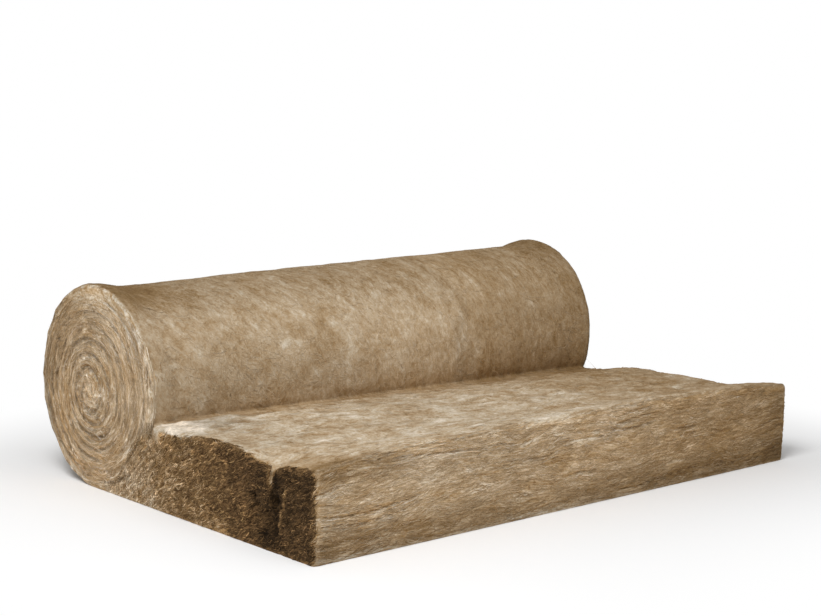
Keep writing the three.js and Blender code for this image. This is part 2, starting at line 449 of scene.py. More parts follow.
def skin_relief(at, flat):
    """Swells of the whole blanket, soft waves in its skin, which are deepest on the tail's top, and
    folds where the roll squeezes the top's left part."""
    swells = 0.0016 * lumps(at.places, (0.30, 0.22, 0.22), seed=1) + 0.0010 * lumps(at.places, 0.09, seed=2)
    waved = 0.0008 * lumps(at.places, (0.030, 0.024, 0.024), seed=3)
    waved += 0.0005 * lumps(at.places, 0.010, seed=4)
    on_top = 0.0040 * lumps(at.places, (0.17, 0.060, 0.1), seed=5) + 0.0013 * ridges(flat, 0.014, seed=16)
    fold = np.stack([at.y + 0.3 * at.x, (at.x - 0.3 * at.y) / 3, at.z], 1)
    squeezed = eased(at.ahead, 0.14, 0.20) * faded(at.ahead, 0.24, 0.36) * faded(at.x, -0.35, -0.15)
    on_top += 0.0040 * squeezed * ridges(fold, 0.034, seed=27)
    return swells + at.skin * waved + at.top * on_top


def front_relief(at, layers):
    """The cut front: layers that wander, and short rifts where two of them have parted."""
    lift = 0.0016 * lumps(layers, 0.034, seed=8) + 0.0007 * lumps(layers, 0.009, seed=9)
    level = layers[:, 0] / 0.022 + 0.8 * lumps(layers, 0.05, seed=22)
    rift = eased(1 - np.abs(level % 1 - 0.5) * 8, 0, 1) * eased(lumps(layers, 0.03, seed=23), 0.1, 0.5)
    return at.front * (lift - 0.0025 * rift)


def side_relief(at, nap):
    """The tail's sides: a coarse nap, torn open on the left with a ragged lip and small holes."""
    lift = 0.0018 * ridges(nap, (0.009, 0.006, 0.006), seed=13) + 0.0014 * lumps(nap, 0.006, seed=14)
    lift = np.where(at.left, 1, RIGHT_NAP) * (lift + 0.003 * tear_edge(at.places))
    for hole in TEAR_HOLES:
        lift -= 0.012 * dimple(at, hole)
    return at.side * lift


def shape_wool(mesh):
    """Lifts the plain skin by its relief, along its normals, or straight out on the wound ends."""
    at = Survey(mesh).read_zones(mesh)
    grain = grain_frames(at.places)
    lift = end_relief(at, grain["rings"]) + skin_relief(at, grain["flat"])
    lift += front_relief(at, grain["layers"]) + side_relief(at, grain["nap"])
    store(mesh, "raised", np.clip((lift - blurred(lift, at.edges, 12)) / RAISED_STEP, -1.5, 1.5))

    normals = np.stack([blurred(at.facing[:, axis], at.edges, 3) for axis in range(3)], 1)
    endward = np.sign(at.places[:, :1]) * np.array([1.0, 0, 0])
    outward = at.wound[:, None] * endward + (1 - at.wound[:, None]) * normals
    outward /= np.maximum(np.linalg.norm(outward, axis=1), 1e-6)[:, None]
    moved = at.places + outward * (lift * eased(at.z, 0, FLOOR_ROUND))[:, None]

    # The foot of the torn gap and the last of the seam beside the roll are closed again.
    gap_foot = faded(at.z, 0.020, 0.045) * eased(at.ahead, 0.42, 0.46) * faded(at.ahead, 0.58, 0.62)
    moved[:, 0] += 0.9 * at.side * at.left * gap_foot * (0.002 - HALF_WIDTH - moved[:, 0])
    seam_end = eased(at.ahead, 0, 0.04) * faded(at.ahead, 0.20, 0.24)
    seam_end *= eased(at.z, 0.006, 0.015) * faded(at.z, 0.08, 0.11) * faded(at.from_end, 0.02, 0.03)
    moved[:, 0] -= at.left * seam_end * np.maximum(HALF_WIDTH - 0.003 - np.abs(moved[:, 0]), 0)
    moved[:, 2] = np.maximum(moved[:, 2], 0)
    mesh.vertices.foreach_set("co", moved.astype(np.float32).ravel())
    mesh.update()


shape_wool(body.data)
kept_share = BODY_TRIANGLES / (2 * len(body.data.polygons))
apply_modifier(body, "DECIMATE", ratio=kept_share, use_collapse_triangulate=True)
bpy.ops.object.shade_smooth()

wool = Survey(body.data).read_zones(body.data)
for grain_name, grain in grain_frames(wool.places).items():
    store(body.data, grain_name, grain)
store(body.data, "calm", shoulder(wool))


# The colour. Binder browns the wool as it darkens it, so each point has a tone, which moves its
# lightness and its hue together, and a gain, which moves its lightness alone. Both also carry
# painted light and shade: lighter crests and cut faces, painted shade in hollows, seams, holes
# and along the nip, and painted shade where the light falls off to the right. The left side's nap
# grows darker from the roll to the gap: each of its tones stands after how far ahead it holds,
# and the darkest of them is painted shade in the torn hollow.
NAP_TONES = (
    (0.04, 0.96),
    (0.10, 0.86),
    (0.16, 0.77),
    (0.20, 0.67),
    (0.28, 0.54),
    (0.36, 0.43),
    (0.44, 0.27),
    (0.515, 0.12),
    (0.555, 0.19),
    (0.66, 0.18),
)
RIGHT_SIDE_TONE = 0.8
# Painted light: how much lighter the cut faces are painted against their fibres' own shade.
CUT_PAINTED_LIGHT = 0.32
# The way to the light, for the painted shade hue of faces that lean away from it.
TOWARD_WINDOW = (-0.55, -0.45, 0.70)


class Paint:
    """The wool's tone and gain at every point."""

    def __init__(self, count):
        self.tone = np.ones(count)
        self.gain = np.ones(count)

    def wash(self, where, tone=0.0, gain=0.0):
        """Lightens the wool by these shares where the mask is 1. Below 0 they darken it."""
        self.tone *= 1 + tone * where
        self.gain *= 1 + gain * where


def paint_relief(paint, at, raised):
    """Painted light on what stands proud and painted shade, browner, in what lies deep. The cut
    faces are painted lighter, less where they face up, against the shade that their own fibres
    cast. Where the ends and the front lean away from the light their hue is the browner one of
    painted shade, and where they lean toward it a paler one, at about the same lightness."""
    paint.wash(raised, tone=0.12 + 0.16 * at.cut, gain=-0.10 * at.cut)
    paint.wash(at.cut * (1 - 0.8 * eased(at.facing[:, 2], 0.2, 0.7)), gain=CUT_PAINTED_LIGHT)
    leaning = at.facing @ TOWARD_WINDOW
    leaning = np.clip(leaning - blurred(leaning, at.edges, 12), -0.3, 0.3)
    paint.wash(leaning * np.maximum(at.wound, at.front), tone=1.2, gain=-1.2)


def paint_side(paint, at):
    """The tail's sides: dark torn nap on the left, deepest at the gap, with painted shade in the
    torn hollow behind a pale lip and in its small holes, a fold where the turn lets go of the roll,
    and a light crown by the nip."""
    nap = np.interp(at.ahead, *zip(*NAP_TONES)) * (1 + 0.28 * faded(at.z, 0.04, 0.10))
    # Painted shade in the torn hollow behind the lip.
    nap *= 1 - 0.6 * hump(at.ahead, TEAR_AHEAD - 0.020, 0.014) * eased(at.z, 0.01, 0.04)
    nap += (0.50 - nap) * 0.8 * tear_edge(at.places)
    upper = eased(at.ahead, 0.20, 0.26) * eased(at.z, 0.05, 0.08)
    nap *= 1 + 0.12 * upper - 0.25 * eased(at.ahead, 0.615, 0.635)
    # Painted shade in the small holes.
    for hole in TEAR_HOLES:
        nap *= 1 - 0.7 * dimple(at, hole)
    nap *= 1 + 0.20 * lumps(at.places, (0.1, 0.03, 0.02), seed=17)
    soft_side = np.minimum(blurred(at.side, at.edges, 4), np.maximum(at.cut, at.side))
    paint.wash(soft_side, tone=np.where(at.left, nap, RIGHT_SIDE_TONE) - 1)

    fold = hump(at.ahead, flow_line(at.places), 0.009) * eased(at.z, 0.06, 0.11)
    paint.wash(at.cut * at.left * fold, tone=0.14)
    paint.wash(at.side * at.left, gain=0.08)
    paint.wash(at.side * at.left * hump(at.ahead, 0.13, 0.03), tone=-0.04, gain=0.05)
    crown = eased(at.ahead, 0.135, 0.155) * faded(at.ahead, 0.20, 0.225) * eased(at.z, 0.112, 0.128)
    paint.wash(at.cut * at.left * crown, gain=0.35)


def paint_top(paint, at):
    """The tail's top: cream fluff that the roll has squeezed up at its left corner, a light middle,
    painted contact shade along the nip, and darker towards the right end, which is painted shade
    where the light falls off."""
    by_nip = faded(at.ahead, 0.24, 0.34)
    clear = 1 - by_nip
    # The darkening towards the right end here and below is painted shade where the light falls off.
    tone = 0.06 + by_nip * (0.40 * faded(at.x, -0.57, -0.42) - 0.30 * eased(at.x, 0.10, 0.50))
    tone += 0.025 * faded(at.x, -0.1, 0.1) + 0.03 * clear * faded(at.x, -0.25, -0.1)
    tone += clear * (0.06 * faded(np.abs(at.x + 0.02), 0.1, 0.3) - 0.22 * eased(at.x, 0.15, 0.50))
    tone -= clear * (0.14 + 0.25 * eased(at.ahead, 0.56, 0.64)) * faded(at.x, -0.56, -0.40)
    # Painted contact shade along the nip.
    tone -= 0.16 * faded(at.ahead, 0.18, 0.215) * eased(at.x, -0.44, -0.36)
    tone -= 0.60 * by_nip * faded(at.z, 0.133, 0.143) * faded(at.x, -0.58, -0.55)
    paint.wash(at.top, tone=tone)
    paint.wash(at.top * faded(at.x, -0.1, 0.1), gain=-0.05)

    fluff = at.top * by_nip
    body_of_fluff = faded(at.x, -0.46, -0.36)
    off_corner = eased(at.x, -0.57, -0.51)
    paint.wash(fluff * body_of_fluff, gain=-0.08 - 0.16 * body_of_fluff * off_corner)
    paint.wash(fluff * faded(at.x, -0.42, -0.36) * off_corner, tone=-0.05)
    paint.wash(fluff * faded(at.x, -0.56, -0.45), tone=0.13)
    whiter = eased(at.ahead, 0.24, 0.32) * faded(at.ahead, 0.42, 0.50) * faded(at.x, -0.50, -0.40)
    paint.wash(at.top * whiter, tone=0.14, gain=-0.10)


def paint_wall(paint, at):
    """The wound wall: a broad light patch in its middle that stops at a ragged edge, a darker right
    third, which is painted shade where the light falls off, dark shoulders, painted shade over the
    rims, and a browner painted contact shade along the nip."""
    wall = at.skin * at.wall
    to_edge = 0.212 - at.x + 0.03 * lumps(at.places, 0.07, seed=24) + 0.01 * lumps(at.places, 0.02, seed=25)
    patch = eased(at.x, -0.22, 0.06) * eased(to_edge, 0, 0.05) * faded(at.z, 0.24, 0.34)
    over_nip = at.z - at.nip
    near_nip = faded(at.z, 0.13, 0.20) * eased(at.ahead, 0, 0.06)
    gain = 0.20 * patch + 0.12 * faded(to_edge, -0.012, 0.012)
    gain += 0.10 * eased(at.x, 0.20, 0.26) * faded(at.z, 0.20, 0.25) - 0.08 * faded(at.x, -0.45, -0.25)
    # Painted shade: darker towards the right, where the light falls off.
    gain -= 0.07 * faded(at.z, 0.15, 0.20) + 0.08 * eased(at.x, 0.2, 0.4) + 0.14 * eased(at.x, 0.49, 0.57)
    gain -= (0.18 - 0.10 * eased(at.x, -0.1, 0.1)) * eased(at.z, 0.30, 0.37)
    # Painted shade over the rims and just above the nip.
    gain -= 0.16 * faded(at.from_end, 0, 0.014) + 0.16 * faded(over_nip, 0.002, 0.014)
    gain += (0.12 + 0.16 * faded(at.x, -0.3, 0)) * near_nip
    paint.wash(wall, gain=gain)
    paint.wash(wall, tone=0.05 * patch - 0.04 * faded(to_edge, 0, 0.05))
    # Painted shade: browner towards the right.
    paint.wash(wall, tone=-0.10 * (eased(at.x, 0.20, 0.30) + eased(at.x, 0.45, 0.60)))
    # Browner painted contact shade along the nip.
    paint.wash(wall * near_nip, tone=-0.12)
    paint.wash(wall * faded(over_nip, 0, 0.020), tone=-0.12)
    paint.wash(wall * eased(at.z, 0.32, 0.37), tone=-0.12 - 0.28 * faded(at.x, -0.53, -0.42))


def paint_front(paint, at):
    """The cut front: lighter along its upper part and darker at its foot and its two corners. The
    foot and the right part with its corner are painted shade where the light falls off, and a band
    under the top's left edge is painted shade too.
    """
    low = faded(at.z, 0.030, 0.055)
    on_left = faded(at.x, -0.2, 0)
    on_right = eased(at.x, 0.1, 0.3)
    upper = eased(at.z, 0.09, 0.135)
    gain = 0.12 * upper + 0.14 * eased(at.z, 0.03, 0.07) * faded(at.z, 0.09, 0.13) + 0.12 * low
    # Painted shade at the foot, deeper to the right.
    gain -= (0.20 + 0.14 * eased(at.x, 0, 0.25)) * faded(at.z, 0.005, 0.075)
    gain -= 0.06 * eased(at.x, 0, 0.5) + 0.16 * eased(at.x, 0.46, 0.60) + 0.16 * faded(at.x, -0.59, -0.53)
    gain += 0.06 * on_right - 0.07 * on_left
    paint.wash(at.front, gain=gain)
    # Painted shade: darker and browner towards the right.
    tone = 0.08 * upper - 0.10 - 0.14 * eased(at.x, 0, 0.5) - 0.12 * eased(at.x, 0.46, 0.60)
    paint.wash(at.front, tone=tone)
    paint.wash(at.front, tone=0.06 * on_left * (1 - low) - 0.14 * low - 0.045 * on_right)
    # Painted shade in the band under the top's left front edge.
    under_edge = eased(at.z, 0.125, 0.14) * faded(at.x, -0.50, -0.38) * eased(at.ahead, 0.58, 0.615)
    paint.wash(under_edge * np.maximum(at.front, at.skin), tone=-0.24, gain=-0.16)


def paint_ends(paint, at):
    """The wound ends: painted shade in the seams and holes, a pale core and shoulder, a whiter upper
    front, and painted shade where they round away at the back and over the rim."""
    # Painted shade in the seams between the turns.
    seam = faded(off_seam(at.turn), 0, 0.4) * eased(at.depth, 0.06, 0.12)
    whiter = eased(at.ahead, -0.02, 0.06) * eased(at.z, 0.22, 0.28)
    back_shade = faded(at.ahead, -0.11, -0.05)
    gain = 0.01 - 0.09 * seam - 0.12 * whiter + 0.14 * eased(at.depth, 0.150, 0.175)
    # Painted shade where the ends round away at the back.
    gain -= 0.10 * faded(at.ahead, -0.16, -0.02) + 0.12 * faded(at.ahead, -0.16, -0.13)
    gain -= 0.08 * eased(at.ahead, -0.02, 0.04) * faded(at.z, 0.20, 0.27) + 0.10 * eased(at.ahead, 0.09, 0.16)
    gain += eased(at.z, 0.29, 0.34) * (0.20 * eased(at.ahead, -0.04, 0.04) - 0.12)
    gain += 0.20 * faded(at.z, 0.03, 0.12)
    paint.wash(at.wound, gain=gain)
    paint.wash(at.wound, gain=0.04 - 0.18 * faded(at.depth, 0.020, 0.045) * eased(at.ahead, -0.02, 0.05))
    paint.wash(at.wound, tone=0.03 + 0.14 * whiter)
    paint.wash(at.wound, tone=0.03 * eased(at.ahead, 0.05, 0.15) - 0.09 - 0.07 * back_shade, gain=0.03 * back_shade)
    paint.wash(at.wound * seam, tone=-0.07, gain=0.06)
    pale = np.maximum(eased(at.depth, 0.135, 0.165), eased(at.z, 0.33, 0.35))
    paint.wash(at.wound * pale, tone=0.05, gain=-0.06)
    # Painted shade in the holes.
    for hole in END_HOLES:
        paint.wash(at.wound * dimple(at, hole, END_HOLE_SQUASH), tone=-0.6)
    # Painted shade where the rim rounds away, on the ends and the wall.
    rim_shade = faded(at.from_end, 0.003, 0.012) * faded(at.depth, 0.004, 0.010)
    rim_shade *= faded(at.z, 0.26, 0.32) * eased(at.ahead, 0, 0.05)
    paint.wash(rim_shade * np.maximum(at.wound, at.wall), gain=-0.22)


paint = Paint(len(wool.x))
paint_relief(paint, wool, np.minimum(stored(body.data, "raised"), 0.5))
for paint_part in (paint_side, paint_top, paint_wall, paint_front, paint_ends):
    paint_part(paint, wool)
store(body.data, "tone", paint.tone)
store(body.data, "gain", paint.gain)


# The map that the finish is baked through. The zones lie beside each other in it, to one scale,
# and the hidden underside is drawn to half of it.
MAP_GAP = 0.02
MAP_ENDS_WIDE = 0.41
MAP_WALL_LOW = 0.20
MAP_UNDER_LOW = 1.42
MAP_UNDER_SCALE = 0.5


def lay_map(mesh, at):
    """Gives the skin its map, zone by zone."""
    corner = numbers(mesh.loops, "vertex_index")
    faces = corner.reshape(-1, 3)
    x, y = at.x + HALF_WIDTH, at.y + HALF_LENGTH
    around = (at.angle - math.pi) % (2 * math.pi) * OVAL_MEAN
    middle = at.x[faces].mean(1)
    zone = {name: stored(mesh, name)[faces].mean(1) > 0.5 for name in ZONES}
    at_end = zone["wound"] | zone["side"]
    under = numbers(mesh.polygons, "normal", 3)[:, 2] < -0.5
    top_low = MAP_UNDER_LOW + 2 * HALF_LENGTH * MAP_UNDER_SCALE + MAP_GAP
    charts = (
        (at_end & (middle < 0), at.z, y, 0, 0),
        (at_end & (middle > 0), at.z, y, 0, 2 * HALF_LENGTH + MAP_GAP),
        (zone["front"], x, at.z, MAP_ENDS_WIDE, 0),
        (zone["wall"], x, around, MAP_ENDS_WIDE, MAP_WALL_LOW),
        (under, x, y * MAP_UNDER_SCALE, MAP_ENDS_WIDE, MAP_UNDER_LOW),
        (~under, x, y, MAP_ENDS_WIDE, top_low),
    )
    spots = np.empty((len(corner), 2))
    free = np.ones(len(faces), bool)
    for mask, across, along, at_u, at_v in charts:
        mine = np.repeat(mask & free, 3)
        free &= ~mask
        spots[mine, 0] = at_u + across[corner[mine]]
        spots[mine, 1] = at_v + along[corner[mine]]
    layer = mesh.uv_layers.new(name="OFBake")
    layer.uv.foreach_set("vector", (spots / spots.max(0)).astype(np.float32).ravel())


lay_map(body.data, wool)


class Shade:
    """One socket of a material's nodes. Sums on it add the Math nodes."""

    def __init__(self, tree, socket=None):
        self.tree = tree
        self.socket = socket

    def node(self, kind, settings, sockets, out=0):
        """Adds a node, makes its settings, fills its sockets and gives one of its outputs."""
        made = self.tree.nodes.new("ShaderNode" + kind)
        for name, value in settings.items():
            setattr(made, name, value)
        for name, value in sockets.items():
            if isinstance(value, Shade):
                self.tree.links.new(value.socket, made.inputs[name])
            else:
                made.inputs[name].default_value = value
        return Shade(self.tree, made.outputs[out] if made.outputs else None)

    def maths(self, operation, *others):
        """A Math node on this number and the others."""
        return self.node("Math", {"operation": operation}, dict(enumerate((self, *others))))

    def vector_maths(self, operation, *others, out=0):
        """The same for vectors."""
        return self.node("VectorMath", {"operation": operation}, dict(enumerate((self, *others))), out)

    def __add__(self, other):
        return self.vector_maths("ADD", other) if isinstance(other, tuple) else self.maths("ADD", other)

    __radd__ = __add__

    def __truediv__(self, other):
        return self.vector_maths("DIVIDE", other)

    def __mul__(self, other):
        return self.maths("MULTIPLY", other)

    __rmul__ = __mul__

    def __sub__(self, other):
        return self.maths("SUBTRACT", other)

    def __rsub__(self, other):
        return self.node("Math", {"operation": "SUBTRACT"}, {0: other, 1: self})

    def __gt__(self, other):
        return self.maths("GREATER_THAN", other)

    def within(self, low, high):
        """This value, held between the two."""
        return self.maths("MAXIMUM", low).maths("MINIMUM", high)

    def eased(self, low, high):
        """0 below low, 1 above high, and a smooth way between."""
        ends = {"Value": self, "From Min": low, "From Max": high}
        return self.node("MapRange", {"interpolation_type": "SMOOTHSTEP"}, ends)

    def vector(self, name):
        """A vector kept on the mesh."""
        return self.node("Attribute", {"attribute_name": name}, {}, "Vector")

    def value(self, name):
        """A number kept on the mesh."""
        return self.node("Attribute", {"attribute_name": name}, {}, "Fac")

    def pick(self, first, second):
        """The first vector where this value is 0 and the second where it is 1."""
        return self.node("Mix", {"data_type": "VECTOR"}, {0: self, 4: first, 5: second}, 1)

    def stirred(self, size, reach):
        """These coordinates, swirled about by lumps of this size."""
        swirl = self.node("TexNoise", {}, {"Vector": self, "Scale": 1 / size, "Detail": 2.0}, "Color")
        centred = swirl.vector_maths("SUBTRACT", (0.5, 0.5, 0.5))
        return centred.vector_maths("MULTIPLY_ADD", (3 * reach, 3 * reach, 3 * reach), self)

    def crest(self, width):
        """Thin lines, 1 where this pattern passes through nothing and 0 away from there."""
        return 1 - self.maths("ABSOLUTE").eased(0, width)

    def rungs(self, spacing, width):
        """Thin lines that cross the first of these coordinates, spaced evenly along it."""
        level = self.node("SeparateXYZ", {}, {0: self}, 0) * (1 / spacing)
        return level.maths("PINGPONG", 0.5).crest(width)

    def noise(self, size, detail=2.0, roughness=0.5):
        """A cloudy pattern, from about -1 to 1, with lumps of this size."""
        cloud = {"Vector": self, "Scale": 1 / size, "Detail": detail, "Roughness": roughness}
        return self.node("TexNoise", {}, cloud) * 3 - 1.5


# At this middle lightness the wool's green and blue are the middle shares of its red. They rise
# with the lightness by their steps, and stay between the lowest and highest shares.
WOOL_LIGHT = 0.46
HUE_MIDDLE = 0.45
GREEN_SHARES = (0.58, 0.735, 0.87)
GREEN_STEP = 0.62
BLUE_SHARES = (0.255, 0.455, 0.71)
BLUE_STEP = 1.00


def binder_brown(light):
    """The wool's colour at a given lightness: the darker it is, the browner the binder looks."""
    light = light.maths("MAXIMUM", 0.01)
    red = light * light.value("gain")
    off = light - HUE_MIDDLE
    green = (off * GREEN_STEP + GREEN_SHARES[1]).within(GREEN_SHARES[0], GREEN_SHARES[2])
    blue = (off * BLUE_STEP + BLUE_SHARES[1]).within(BLUE_SHARES[0], BLUE_SHARES[2])
    return light.node("CombineColor", {"mode": "RGB"}, {"Red": red, "Green": green * red, "Blue": blue * red})


def new_tree(name):
    """An empty material, and the start of its nodes."""
    made = bpy.data.materials.new(name)
    made.use_nodes = True
    made.node_tree.nodes.clear()
    return made, Shade(made.node_tree)


def wool_material():
    """The wool up close: clouds and mottling all over, and streaks, hairs, strands and creases
    along the grain of each zone, with a share for each zone of how strongly it shows them. The
    creases and the front's rifts are sunk by the bump and also darkened: painted shade in them."""
    made, start = new_tree("wool")
    where = start.node("TexCoord", {}, {}, "Object")
    edge = where.noise(0.012, 3.0) * 0.25
    cut = (start.value("wound") + start.value("side") + start.value("front") + edge) > 0.5
    is_front = cut * (start.value("front") > start.value("side"))
    is_side = (cut - is_front) * ((start.value("side") + edge) > start.value("wound"))
    is_wound = cut - is_front - is_side
    is_wall = start.value("wall") > 0.5
    lay = is_wall.pick(start.vector("flat"), start.vector("bands"))
    lay = is_wound.pick(lay, start.vector("rings"))
    lay = is_side.pick(lay, start.vector("nap"))
    lay = is_front.pick(lay, start.vector("layers"))
    lay = is_front.pick(lay.stirred(0.030, 0.010), lay.stirred(0.030, 0.004)).stirred(0.007, 0.0022)
    wall = is_wall * (1 - cut)
    skin = 1 - cut
    top = skin - wall
    high = where.node("SeparateXYZ", {}, {0: where}, 2).eased(0.28, 0.36) * wall
    calm = start.value("calm") * is_wound
    rough_end = is_wound - calm

    clouds = where.stirred(0.10, 0.06).noise(0.06, 4.0, 0.6)
    mottle = where.stirred(0.03, 0.02).noise(0.016, 3.0, 0.6)
    grit = where.noise(0.0045, 1.0, 0.6)
    curls = where.stirred(0.012, 0.008).noise(0.008, 2.0).crest(0.3)
    bands = lay.noise(0.022, 4.0, 0.6)
    streaks = lay.noise(0.0065, 3.0, 0.6)
    fine = lay.noise(0.0022, 2.0, 0.7)
    hairs = lay.noise(0.0040, 2.0, 0.6).crest(0.35)
    creases = (lay + (0.5, 0.5, 0.5)).noise(0.009, 2.0, 0.5).crest(0.12)
    wisps = (where + (4, 2, 3)).noise(0.04).eased(-0.1, 0.4)
    strands = (lay + (0.2, 0.7, 0.4)).noise(0.014, 2.0).crest(0.12) * wisps
    layers = start.vector("layers")
    rifts = layers.stirred(0.060, 0.012).stirred(0.008, 0.0012).rungs(0.014, 0.08)
    rifts = rifts * (layers + (1, 2, 3)).noise(0.018).eased(0.1, 0.7)
    cream = (clouds + bands * 0.8).eased(0.35, 1.3)
    strokes = (start.vector("bands") / (1, 2.5, 1)).stirred(0.03, 0.006).noise(0.020, 1.0).crest(0.07)
    strokes = strokes * where.noise(0.05).eased(0.1, 0.6) * wall

    pattern = clouds * (0.26 + top * 0.14 + is_front * 0.06)
    pattern += grit * (0.08 + top * 0.12 + is_front * 0.12 + is_wound * 0.30 + is_side * 0.40)
    pattern += mottle * (wall * 0.20 + is_front * 0.14 + top * 0.24 + calm * 0.16 + rough_end * 0.12)
    pattern += bands * (0.20 + top * 0.16 + is_front * 0.34 + rough_end * 0.06)
    pattern += streaks * (0.38 - wall * 0.28 - is_front * 0.02 - top * 0.24 - calm * 0.24 + high * 0.12)
    pattern += streaks * rough_end * 0.10
    pattern += cream * (skin * 0.30 + rough_end * 0.14) + strokes * 0.22 + wisps * rough_end * 0.10
    pattern += strands * (rough_end * 0.24 + is_front * 0.12)
    pattern += fine * (is_side * 0.30 + is_front * 0.08 + rough_end * 0.06)
    pattern += (hairs - 0.4) * (0.20 - wall * 0.10 - top * 0.06 + is_side * 0.16 - calm * 0.1 + high * 0.12)
    pattern += (curls - 0.4) * wall * 0.12
    # Painted shade in the creases and rifts, which the bump also sinks.
    pattern -= creases * (cut * 0.20 + 0.03 - is_front * 0.14 - is_wound * 0.12)
    pattern -= rifts * is_front * 0.36
    light = (pattern + 1).maths("MAXIMUM", 0.2) * start.value("tone") * WOOL_LIGHT

    relief = streaks * (0.6 - wall * 0.35 - is_front * 0.2 - top * 0.2 - is_wound * 0.35)
    relief += hairs * (0.5 - wall * 0.25 - top * 0.2 - is_wound * 0.25) + fine * is_side * 0.3
    relief += (mottle + curls) * wall * 0.3 + strands * rough_end * 0.3
    relief -= creases * (cut - is_front * 0.8 - is_wound * 0.6) + rifts * is_front
    bump = start.node("Bump", {}, {"Strength": 0.7, "Distance": 0.0016, "Height": relief})
    dry = {"Base Color": binder_brown(light), "Roughness": 0.95, "Specular IOR Level": 0.05, "Normal": bump}
    start.node("OutputMaterial", {}, {"Surface": start.node("BsdfPrincipled", {}, dry)})
    return made


body.data.materials.append(wool_material())
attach(body, "root")
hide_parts("wool_blanket")


# ---------------------------------------------------------------- loose fibres
# Tufts and single fibres that the blades and the hands have pulled up: they lie along the wool's
# own layers, rings and nap, half bedded in it, and each is a slim spindle of glass wool.
FLANKS = 3
FIBRE_POINTS = 2 + 2 * FLANKS
FIBRE_BEND = 0.16
CELL_MARGIN = 0.06

triangles = numbers(body.data.loops, "vertex_index").reshape(-1, 3)
triangle_area = numbers(body.data.polygons, "area").astype(float)
tree_of_body = BVHTree.FromPolygons(wool.places.tolist(), triangles.tolist())


def snapped(points):
    """The nearest places on the blanket, and which way it faces there."""
    found = [tree_of_body.find_nearest(point)[:2] for point in points.tolist()]
    return np.array([place[:] for place, _ in found]), np.array([facing[:] for _, facing in found])


def unit(vectors):
    """The same directions, each one long."""
    return vectors / np.maximum(np.linalg.norm(vectors, axis=1), 1e-9)[:, None]


def fibre_faces():
    """The corners of one fibre's faces: 0 and 7 are its tips, 1 to 3 and 4 to 6 its two rings."""
    flanks = [(flank, (flank + 1) % FLANKS) for flank in range(FLANKS)]
    faces = [(0, 1 + here, 1 + after) for here, after in flanks]
    for here, after in flanks:
        faces += [(1 + here, 4 + here, 4 + after), (1 + here, 4 + after, 1 + after)]
    faces += [(4 + here, 7, 4 + after) for here, after in flanks]
    return np.array(faces)


def fibre_cells(mesh, count):
    """Gives each fibre a small square of its own in the map: along it to the right, and its
    three flanks one above the other."""
    along, up = [], []
    for flank in range(FLANKS):
        along += [0, 1, 1]
        up += [flank + 0.5, flank, flank + 1]
    for flank in range(FLANKS):
        along += [1, 2, 2, 1, 2, 1]
        up += [flank, flank, flank + 1, flank, flank + 1, flank + 1]
    for flank in range(FLANKS):
        along += [2, 3, 2]
        up += [flank, flank + 0.5, flank + 1]
    corner = CELL_MARGIN + (1 - 2 * CELL_MARGIN) * np.array([along, up]) / 3
    row_length = math.ceil(math.sqrt(count))
    row, column = np.divmod(np.arange(count), row_length)
    u, v = column[:, None] + corner[0], row[:, None] + corner[1]
    layer = mesh.uv_layers.new(name="OFBake")
    layer.uv.foreach_set("vector", (np.stack([u, v], 2) / row_length).astype(np.float32).ravel())


def fibre_material():
    """The same wool as the blanket's, in a single fibre or tuft."""
    made, start = new_tree("wool_fibre")
    where = start.node("TexCoord", {}, {}, "Object")
    light = (where.noise(0.004, 1.0) * 0.08 + 1) * start.value("tone") * WOOL_LIGHT
    glassy = {"Base Color": binder_brown(light), "Roughness": 0.85, "Specular IOR Level": 0.1}
    start.node("OutputMaterial", {}, {"Surface": start.node("BsdfPrincipled", {}, glassy)})
    return made


fibre_finish = fibre_material()


